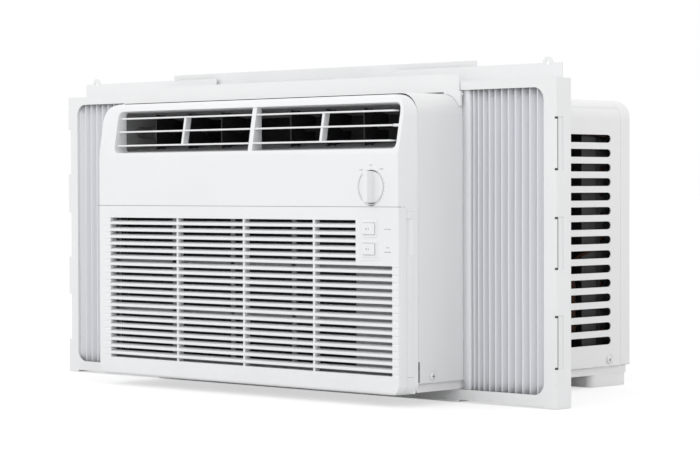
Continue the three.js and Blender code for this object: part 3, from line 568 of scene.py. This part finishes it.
def make_panel():
    """The panel's moulding: the CAD shape with its sides leaning in toward the front."""
    node = nodes["front_panel"]
    panel = bmesh.new()
    panel.from_mesh(node.data)
    for vertex in panel.verts:
        x, y, z = vertex.co / MM
        y -= panel_low.y / MM
        vertex.co = (drafted(x, y), y, z - panel_low.z / MM)
    bmesh.ops.remove_doubles(panel, verts=panel.verts, dist=0.01)
    limit = math.radians(0.5)
    bmesh.ops.dissolve_limit(panel, angle_limit=limit, verts=panel.verts, edges=panel.edges)
    soften(add_piece("front_panel_moulding", panel, "front_panel"), EDGE_ROUNDING)


make_panel()


# ---- Dial, switches and printed marks -------------------------------------------------------
DIAL = (185.5, 204.0)
DIAL_RADIUS = 15.8
ROCKER_X = 183.4
ROCKERS = {"power_rocker": 162.9, "mode_rocker": 142.9}
ROCKER_TILT = 7.0
KEY_MIDDLE = -2.0  # front of a key at its middle
KEY_SLOPE = 0.117
LABEL_X = 207.4
LABELS = ((162.6, 9.0), (144.6, 4.5), (140.2, 9.0))  # height and width of each bar
DIAL_LABELS = ((90, 21.5, 3.6), (128, 21.5, 4.6), (52, 22.5, 4.6))  # angle, radius and width
PRINT = (-0.06, 0.2)  # front and back of a printed mark


def rounded_box(x, z, radius, steps=4):
    """Outline of a box with round corners, as points (x, z)."""
    points = []
    corners = ((x[1], z[1], 0), (x[0], z[1], 90), (x[0], z[0], 180), (x[1], z[0], 270))
    for cx, cz, start in corners:
        centre = (
            cx - radius if cx == x[1] else cx + radius,
            cz - radius if cz == z[1] else cz + radius,
        )
        points += arc(centre, radius, start, start + 90, steps)
    return points


def ring_mark(mesh, radius, start, end, steps, width=0.35):
    """A printed line round the dial, from one angle to another."""
    outline = arc(DIAL, radius, start, end, steps)
    outline += reversed(arc(DIAL, radius + width, start, end, steps))
    extrusion(mesh, outline, "y", *PRINT)


def crescent(mesh, radius, start, end, width):
    """A dark strip that paints the shadow in the gap beside the dial, narrowing to nothing at both
    ends.
    """
    inner = arc(DIAL, radius, start, end, 16)
    outline = list(reversed(inner))
    for i, (x, z) in enumerate(inner):
        reach = 1 + width * math.sin(math.pi * i / 16) / radius
        outline.append((DIAL[0] + (x - DIAL[0]) * reach, DIAL[1] + (z - DIAL[1]) * reach))
    extrusion(mesh, outline, "y", *PRINT)


def bar_mark(mesh, centre, width, height):
    x, z = centre
    outline = rounded_box((x - width / 2, x + width / 2), (z - height / 2, z + height / 2), 0.2, 2)
    extrusion(mesh, outline, "y", *PRINT)


def make_dial():
    """A flat disc on a shaft, with a grip that narrows toward its front."""
    knob = bmesh.new()
    disc = [(0, 0.5), (DIAL_RADIUS, 0.5), (DIAL_RADIUS, -0.2), (15.5, -0.45), (15.1, -0.55)]
    disc += [(14.2, -0.55), (14.0, -0.4), (13.8, -0.4), (13.6, -0.55), (0, -0.6)]
    spin(knob, disc, (DIAL[0], 0, DIAL[1]), "y", 72)
    spin(knob, [(0, 21), (3, 21), (3, 0.4), (0, 0.4)], (DIAL[0], 0, DIAL[1]), "y", 24)
    levels = [(-0.3, 0, 0), (-8.2, 0.2, 0.3), (-9.1, 0.5, 0.6), (-9.5, 1.1, 1.3)]
    rings = []
    for y, narrow, short in levels:
        half, reach = 3.5 - narrow, 15.6 - short
        outline = rounded_box(
            (DIAL[0] - half, DIAL[0] + half),
            (DIAL[1] - reach, DIAL[1] + reach),
            1.6,
        )
        rings.append([(x, y, z) for x, z in outline])
    loft(knob, rings)
    soften(add_piece("dial_knob", knob, "thermostat_dial"), 0.25)


def make_marks():
    """Plain bars for words, a ring round the dial, and dark strips that paint the shadows in the
    gaps beside dial and seam.
    """
    marks = bmesh.new()
    ring_mark(marks, 17.5, 118, 318, 40, 0.5)
    for i in range(9):
        angle = -38 + i * 12
        ring_mark(marks, 17.4, angle, angle + 4 + i * 0.35, 3, 0.6)
    for angle, radius, width in DIAL_LABELS:
        bar_mark(marks, arc(DIAL, radius, angle, angle, 1)[0], width, 1.2)
    for z, width in LABELS:
        bar_mark(marks, (LABEL_X, z), width, 1.0)
    add_print("panel_marks", marks, "front_panel", "print_pale")
    gap_shadows = bmesh.new()
    # A dark line paints the shadow in the seam above the grille; the crescents paint the shadows
    # beside the dial.
    block(gap_shadows, (0.4 - HALF_WIDTH, HALF_WIDTH - 0.4), (-0.02, 0.4), (GRILLE_TOP, GRILLE_TOP + 0.35))
    crescent(gap_shadows, 16.0, 58, 104, 0.9)
    crescent(gap_shadows, 16.1, 254, 290, 0.9)
    crescent(gap_shadows, 18.1, 252, 290, 0.7)
    add_print("dial_gaps", gap_shadows, "front_panel", "dark_recess")


def make_switches():
    """The switches' plate with a low surround for each rocker."""
    pack = bmesh.new()
    plate_x = (SWITCH_OPENING[0][0] + 0.06, SWITCH_OPENING[0][1] - 0.06)
    plate_z = (SWITCH_OPENING[1][0] + 0.06, SWITCH_OPENING[1][1] - 0.06)
    extrusion(pack, rounded_box(plate_x, plate_z, 0.4), "y", -0.15, 2.2)
    block(pack, (171.5, 194.1), (2.2, 10.2), (133, 172))
    for z in ROCKERS.values():
        outer = rounded_box((ROCKER_X - 10.2, ROCKER_X + 10.2), (z - 8.6, z + 8.6), 1.4)
        inner = rounded_box((ROCKER_X - 8.2, ROCKER_X + 8.2), (z - 6.1, z + 6.1), 0.7)
        rings = [
            [(x, -0.1, h) for x, h in outer],
            [(x, -0.6, h) for x, h in outer],
            [(x, -0.9, h) for x, h in rounded_box(
                (ROCKER_X - 9.8, ROCKER_X + 9.8), (z - 8.2, z + 8.2), 1.2)],
            [(x, -0.9, h) for x, h in inner],
            [(x, -0.4, h) for x, h in inner],
        ]
        loft(pack, rings, caps=False)
    soften(add_piece("switch_housing", pack, "switch_pack"), 0.2)
    for name, z in ROCKERS.items():
        make_rocker(name, z)


def make_rocker(name, z):
    """A hollow faced key that is pressed in on one side, with two marks."""
    tilt = math.radians(ROCKER_TILT)
    profile = [(-7.5, -2.7), (-6.9, -2.95), (-3, -2.35), (0, KEY_MIDDLE), (3, -2.35), (6.9, -2.95)]
    profile += [(7.5, -2.7), (7.2, 2.6), (-7.2, 2.6)]

    def placed(u, v):
        turned_u = u * math.cos(tilt) - v * math.sin(tilt)
        turned_v = u * math.sin(tilt) + v * math.cos(tilt)
        return ROCKER_X + turned_u, turned_v

    rocker = bmesh.new()
    extrusion(rocker, [placed(u, v) for u, v in profile], "z", z - 5.5, z + 5.5)
    soften(add_piece(f"{name}_key", rocker, name), 0.35)
    marks = bmesh.new()
    for u, width in ((-2.9, 0.8), (-0.2, 0.5)):
        front = KEY_MIDDLE - abs(u) * KEY_SLOPE
        outline = [placed(u + du, front + dv) for du, dv in
                   ((-width, -0.03), (width, -0.03), (width, 0.2), (-width, 0.2))]
        extrusion(marks, outline, "z", z - 0.9, z + 0.9)
    add_print(f"{name}_marks", marks, name, "print_grey")


make_dial()
make_marks()
make_switches()

# ---- Louvres --------------------------------------------------------------------------------
SLANT_START = 236.0
SLANT_END = 287.0
SLANT_DEPTH = 9.2
BLADE_HEIGHTS = (249.5, 264.5, 279.0)
BLADE_DEPTH = 9.0
LOUVRE_PIVOT = (10.1, 264.5)


def make_louvres(node):
    """Three blades with round noses, joined by an upright, on a pin at each end."""
    low, high = span(node, "x")
    pin = 7.5 if node.endswith("left") else 2.4
    left, right = low + pin, high - (9.9 - pin)
    bank = bmesh.new()
    fronts = []
    for height in BLADE_HEIGHTS:
        front = (height - SLANT_START) * SLANT_DEPTH / (SLANT_END - SLANT_START) + 1
        fronts.append((front, height))
        nose = [(front + 0.95 + y, height + z) for y, z in arc((0, 0), 0.95, 90, 270, 8)]
        tail = [(front + BLADE_DEPTH, height - 0.6), (front + BLADE_DEPTH, height + 0.6)]
        extrusion(bank, nose + tail, "x", left, right)
    middle = (left + right) / 2
    upright = [(y + 1, z) for y, z in fronts]
    upright += [(y + BLADE_DEPTH - 0.4, z) for y, z in reversed(fronts)]
    extrusion(bank, upright, "x", middle - 1.6, middle + 1.6)
    for start, end in ((low, left + 1), (right - 1, high)):
        profile = [(0, start), (1.5, start), (1.5, end), (0, end)]
        spin(bank, profile, (0, *LOUVRE_PIVOT), "x", 20)
    soften(add_piece(f"{node}_blades", bank, node), 0.2)


make_louvres("louvre_bank_left")
make_louvres("louvre_bank_right")

# ---- Air filter -----------------------------------------------------------------------------
FILTER_X = (-208.0, 219.5)
FILTER_Z = (18.8, 179.4)
FILTER_Y = (14.0, 17.0)
NET_END = 158.0
NET_PITCH = 2.6


def make_filter():
    """A frame of bars with a woven net in its middle."""
    frame_mesh = bmesh.new()
    border = 6.0
    block(frame_mesh, FILTER_X, FILTER_Y, (FILTER_Z[0], FILTER_Z[0] + border))
    block(frame_mesh, FILTER_X, FILTER_Y, (FILTER_Z[1] - border, FILTER_Z[1]))
    inside = (FILTER_Z[0] + border, FILTER_Z[1] - border)
    step_x = (NET_END - border - FILTER_X[0]) / 4
    for i in range(4):
        x = FILTER_X[0] + i * step_x
        block(frame_mesh, (x, x + border), FILTER_Y, inside)
    block(frame_mesh, (NET_END - border, FILTER_X[1]), FILTER_Y, inside)
    step_z = (FILTER_Z[1] - FILTER_Z[0] - border) / 3
    for j in (1, 2):
        z = FILTER_Z[0] + j * step_z
        block(frame_mesh, (FILTER_X[0] + border, NET_END - border), FILTER_Y, (z, z + border))
    soften(add_piece("air_filter_frame", frame_mesh, "air_filter"), 0.5)
    net = bmesh.new()
    columns = round((NET_END - FILTER_X[0] - 4) / NET_PITCH)
    for x in spread(FILTER_X[0] + 2, NET_END - 2, columns):
        block(net, (x - 0.3, x + 0.3), (15.2, 15.8), (FILTER_Z[0] + 2, FILTER_Z[1] - 2))
    rows = round((FILTER_Z[1] - FILTER_Z[0] - 4) / NET_PITCH)
    for z in spread(FILTER_Z[0] + 2, FILTER_Z[1] - 2, rows):
        block(net, (FILTER_X[0] + 2, NET_END - 2), (15.3, 15.7), (z - 0.3, z + 0.3))
    add_piece("air_filter_net", net, "air_filter", "dark_net")
    make_filter_cap()


def make_filter_cap():
    """The cap closes the slot in the panel's side; a finger hooks into its recess."""
    face = HALF_WIDTH
    back = face - 3.6
    front, rear = GRILLE_BACK + 0.45, 19.36
    low, high = 17.6, 180.1
    dip = 3.1
    gap = 0.9
    levels = ((low, 0), (135.8, 0), (138.2, dip), (172.2, dip), (172.9, 0), (high, 0))
    cap = bmesh.new()
    rings = []
    for z, depth in levels:
        start = front + (gap if depth else 0.0)
        ring = [
            (back, start), (face - depth, start), (face - depth * 0.9, front + 2.2),
            (face - depth * 0.7, front + 4), (face - depth * 0.3, front + 6.3),
            (face, front + 7.6), (face, rear), (back, rear),
        ]
        rings.append([(drafted(x, y), y, z) for x, y in ring])
    loft(cap, rings)
    piece = add_piece("air_filter_cap", cap, "air_filter", "white_plastic")
    soften(piece, 0.2)


make_filter()

# ---- Screws ---------------------------------------------------------------------------------


def make_screw(node, axis, sign):
    """A domed head and a round shank in the CAD screw's place; a dark cross on the head paints the
    shade of a cross recess.
    """
    spans = [span(node, a) for a in "xyz"]
    along = "xyz".index(axis)
    radius = (spans[1][1] - spans[1][0]) / 2
    low, high = spans[along]
    outer, inner = (high, low) if sign > 0 else (low, high)
    centre = [sum(pair) / 2 for pair in spans]
    centre[along] = 0
    seat = outer - sign * 1.6
    profile = [(0, inner), (1.7, inner), (1.7, seat), (radius, seat), (radius, seat + sign * 0.5)]
    profile += [(radius * 0.86, seat + sign * 1.1), (radius * 0.55, outer - sign * 0.1), (0, outer)]
    head = bmesh.new()
    spin(head, profile, centre, axis, 32)
    add_piece(f"{node}_head", head, node)
    # The dark cross paints the shade of a cross recess; the head itself is not cut.
    cross = bmesh.new()
    for long, short in ((2.1, 0.35), (0.35, 2.1)):
        sizes = [long, short]
        box_spans = []
        for i in range(3):
            if i == along:
                box_spans.append(sorted((outer + sign * 0.03, outer - sign * 0.8)))
            else:
                half = sizes.pop()
                box_spans.append((centre[i] - half, centre[i] + half))
        block(cross, *box_spans)
    add_piece(f"{node}_recess", cross, node, "dark_recess", replaces=False)


for place in ("front", "rear"):
    make_screw(f"cover_screw_{place}_left", "x", -1)
    make_screw(f"cover_screw_{place}_right", "x", 1)
for side in ("left", "right"):
    make_screw(f"guide_screw_{side}", "z", 1)

# ---- Coils ----------------------------------------------------------------------------------


def make_coil(node, x, y, z, pitch, tubes):
    """Thin fins between two end plates, on rows of straight tubes."""
    # The fins, end plates and tubes get near-black colours that paint the shade inside the cabinet.
    fins = bmesh.new()
    for i in spread(x[0] + 1, x[1] - 1, round((x[1] - x[0]) / pitch)):
        block(fins, (i - 0.12, i + 0.12), y, z)
    add_piece(f"{node}_fins", fins, node, "shaded_fins")
    plates = bmesh.new()
    for end in x:
        block(plates, (end - 0.7, end + 0.7), (y[0] - 0.6, y[1] + 0.6), (z[0] - 2, z[1] + 2))
    add_piece(f"{node}_plates", plates, node, "dark_net")
    pipes = bmesh.new()
    step = (z[1] - z[0]) / tubes
    for row in (0.3, 0.7):
        depth = y[0] + (y[1] - y[0]) * row
        for i in range(tubes):
            height = z[0] + (i + 0.25 + row / 2) * step
            spin(pipes, [(0, x[0] - 1), (4, x[0] - 1), (4, x[1] + 1), (0, x[1] + 1)],
                 (0, depth, height), "x", 16)
    add_tubes(f"{node}_tubes", pipes, node)


def make_coils():
    """The condenser at the back, on legs, and the evaporator behind the filter."""
    x, y, z = (span("condenser_coil", a) for a in "xyz")
    make_coil("condenser_coil", (x[0] + 0.7, x[1] - 0.7), (326, 360), (14, 286), 1.8, 11)
    legs = bmesh.new()
    for low, high in ((-205, -186), (194, 213)):
        block(legs, (low, high), (327, 359), (z[0], 14.5))
    add_piece("condenser_coil_legs", legs, "condenser_coil")
    x = span("evaporator_coil", "x")
    make_coil("evaporator_coil", (x[0] + 0.8, 142.6), (30, 66), (16, 232), 2.0, 6)
    bends = bmesh.new()
    for i in range(6):
        height = 34 + i * 36
        path = arc((height - 9, 0), 9, 0, 180, 10)
        rings = []
        for along, out in [(v, 143 + w * 0.72) for v, w in path]:
            rings.append([(out, 48 + u, along + w) for u, w in arc((0, 0), 3.4, 0, 330, 11)])
        loft(bends, rings)
    add_tubes("evaporator_coil_bends", bends, "evaporator_coil")


make_coils()

# ---- Curtains -------------------------------------------------------------------------------
PLEATS = {"left": 13, "right": 12}
CROWDING = {"left": 1.0, "right": 1.24}  # above 1 the pleats are tighter beside the cabinet
PLEAT_DEPTH = 14.0
MOUNTING_STRIP = 7.0
SHEET = 0.9
TUCK = 1.6  # how far the mounting strip goes in beside the cabinet
FOLD_CUT = 1.5
CURTAIN_ROWS = 16
SWAY = 0.12


def pleat_line(side, start, end, front, direction):
    """The folded sheet seen from above, with rounded folds, behind a flat mounting strip."""
    first = start + MOUNTING_STRIP
    folds = 2 * PLEATS[side]
    corners = [Vector((direction * (start - TUCK), front))]
    for i in range(folds + 1):
        x = first + (end - first) * (i / folds) ** CROWDING[side]
        corners.append(Vector((direction * x, front + (i % 2) * PLEAT_DEPTH)))
    line = [corners[0]]
    for before, corner, after in zip(corners, corners[1:], corners[2:]):
        inward = (before - corner).normalized()
        outward = (after - corner).normalized()
        a, b = corner + inward * FOLD_CUT, corner + outward * FOLD_CUT
        for t in (0, 0.25, 0.5, 0.75, 1):
            line.append(a * (1 - t) ** 2 + corner * 2 * t * (1 - t) + b * t * t)
    line.append(corners[-1])
    return line


def make_curtain(side, direction):
    """A pleated sheet that stretches between the cabinet and its frame."""
    node = f"{side}_curtain"
    low, high = span(node, "z")
    x_span = sorted(abs(x) for x in span(node, "x"))
    front = span(node, "y")[0]
    line = pleat_line(side, *x_span, front + SHEET / 2, direction)
    mesh = bmesh.new()
    count = len(line)
    normals = []
    for i in range(count):
        tangent = (line[min(i + 1, count - 1)] - line[max(i - 1, 0)]).normalized()
        normals.append(Vector((-tangent.y, tangent.x)) * SHEET / 2)
    ring = [p + n for p, n in zip(line, normals)]
    ring += [p - n for p, n in zip(reversed(line), reversed(normals))]
    rings = []
    for z in spread(low, high, CURTAIN_ROWS):
        sway = SWAY * math.sin(z / 37 + direction)
        rings.append([Vector((p.x + sway, p.y, z)) for p in ring])
    loft(mesh, rings)
    piece = add_piece(f"{node}_pleats", mesh, node)
    piece.parent = None
    del piece["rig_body"]
    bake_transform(piece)


make_curtain("left", -1)
make_curtain("right", 1)


# ---- Finger notches of the right frame ------------------------------------------------------
STILE_TOP = 309.5
# Start and end of each notch, as shares of the stile's height below its top.
NOTCHES = ((0.118, 0.28), (0.42, 0.58), (0.718, 0.881))


def make_notch_shadows():
    """Dark blocks paint the shadow in the deep groove at the front of each notch and at its two
    ends.
    """
    low, high = span("right_curtain_frame", "z")[0], STILE_TOP
    outer = span("right_curtain_frame", "x")[1]
    front = span("right_curtain_frame", "y")[0] + 1.4
    gap_shadows = bmesh.new()
    for start, end in NOTCHES:
        bottom = high - end * (high - low)
        top = high - start * (high - low)
        block(gap_shadows, (outer - 4.4, outer - 0.25), (front, front + 1.2), (bottom + 0.1, top - 0.1))
        for z in (bottom + 0.1, top - 2.1):
            block(gap_shadows, (outer - 2.3, outer - 0.1), (front - 1.35, front + 0.1), (z, z + 2))
    add_piece("right_notch_gaps", gap_shadows, "right_curtain_frame", "dark_recess", replaces=False)


make_notch_shadows()


# ---- Camera, lights and floor ---------------------------------------------------------------
CAMERA_PLACE = (1751.1, -1701.7, 205.2)
CAMERA_YAW = 43.13
CAMERA_PITCH = -1.137
CAMERA_ROLL = -0.157
CAMERA_LENS = 120.93


WORLD_LIGHT = 1.06
WORLD_SEEN = 1.0
KEY_POWER = 7
LOW_POWER = 3
FLOOR_SIDE = 30


def place_camera():
    data = bpy.data.cameras.new("camera")
    data.lens = CAMERA_LENS
    data.sensor_width = 36
    data.clip_end = 50
    camera = bpy.data.objects.new("camera", data)
    bpy.context.scene.collection.objects.link(camera)
    turn = Matrix.Rotation(math.radians(CAMERA_YAW), 4, "Z")
    tilt = Matrix.Rotation(math.radians(90 + CAMERA_PITCH), 4, "X")
    roll = Matrix.Rotation(math.radians(CAMERA_ROLL), 4, "Z")
    camera.matrix_world = Matrix.Translation(at(*CAMERA_PLACE)) @ turn @ tilt @ roll
    bpy.context.scene.camera = camera


def softbox(name, place, target, size, power):
    """A soft rectangular light; places and sizes in metres, power in watts."""
    data = bpy.data.lights.new(name, "AREA")
    data.shape = "RECTANGLE"
    data.size, data.size_y = size
    data.energy = power
    light = bpy.data.objects.new(name, data)
    bpy.context.scene.collection.objects.link(light)
    light.location = place
    light.rotation_euler = (Vector(target) - Vector(place)).to_track_quat("-Z", "Y").to_euler()


def light_studio():
    """An even white surround with a soft light at the left and a low one at the front."""
    world = bpy.data.worlds.new("studio")
    world.use_nodes = True
    bpy.context.scene.world = world
    tree = world.node_tree
    background = tree.nodes["Background"]
    background.inputs["Color"].default_value = (1, 1, 1, 1)
    path = tree.nodes.new("ShaderNodeLightPath")
    strength = tree.nodes.new("ShaderNodeMapRange")
    strength.inputs["To Min"].default_value = WORLD_LIGHT
    strength.inputs["To Max"].default_value = WORLD_SEEN
    tree.links.new(path.outputs["Is Camera Ray"], strength.inputs["Value"])
    tree.links.new(strength.outputs["Result"], background.inputs["Strength"])
    softbox("key", (-1.2, -2.2, 1.5), (0, 0, 0.15), (2.2, 1.6), KEY_POWER)
    softbox("low", (1.2, -2.0, 0.12), (0, 0, 0.15), (1.6, 0.4), LOW_POWER)
    bpy.context.scene.view_settings.view_transform = "Standard"


def lay_floor():
    """A pale floor that looks brighter to the camera than to the other light paths."""
    mesh = bpy.data.meshes.new("floor")
    low, high = -FLOOR_SIDE, FLOOR_SIDE
    corners = [(low, low, 0), (high, low, 0), (high, high, 0), (low, high, 0)]
    mesh.from_pydata(corners, [], [(0, 1, 2, 3)])
    floor = bpy.data.objects.new("floor", mesh)
    floor.location.z = -0.0005
    bpy.context.scene.collection.objects.link(floor)
    look = Look("floor", (0.93, 0.93, 0.93), 0.9)
    look.set(Emission_Color=(1, 1, 1, 1), Specular_IOR_Level=0.1)
    glow = look.tree.nodes.new("ShaderNodeLightPath").outputs["Is Camera Ray"]
    look.link(look.remap(glow, 0, 0.6, 0, 1), look.surface, "Emission Strength")
    look.link(look.remap(glow, 0.75, 0.45, 0, 1), look.surface, "Base Color")
    mesh.materials.append(look.material)


place_camera()
light_studio()
lay_floor()
